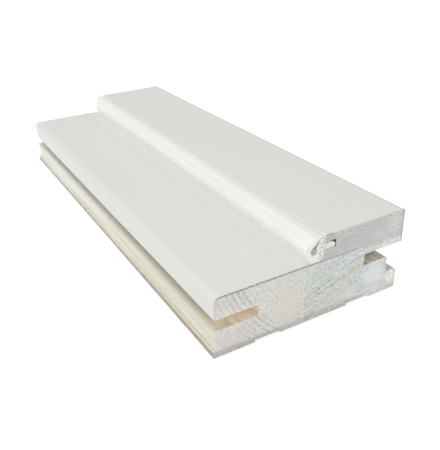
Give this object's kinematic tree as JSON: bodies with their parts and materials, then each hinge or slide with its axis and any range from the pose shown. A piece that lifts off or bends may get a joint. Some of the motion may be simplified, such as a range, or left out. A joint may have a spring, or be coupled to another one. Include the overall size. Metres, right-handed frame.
{
  "type": "door frame member",
  "caption": "Short cut length of a rebated pine door frame member, faced in white film, with a stop, a bulb seal in a kerf, a slotted edge and a grooved, stepped edge.",
  "frame": {"origin": "middle of the member's back, at the level of the feet that it rests on", "axes": "+Y along the member, +Z from the back towards the stop, +X from the rebate edge towards the casing edge"},
  "size_m": [0.1014, 0.268, 0.0411],
  "materials": {
    "rebate_pine": "planed and sawn, raw",
    "outer_pine": "planed and sawn, raw",
    "stop_pine": "planed and sawn, raw",
    "white_film": "satin",
    "white_seal": "soft satin"
  },
  "bodies": {
    "root": {"rabbet_stave": "rebate_pine", "outer_stave": "outer_pine", "stop_strip": "stop_pine", "rabbet_film": "white_film", "stop_film": "white_film", "bulb_seal": "white_seal"}
  },
  "joints": []
}
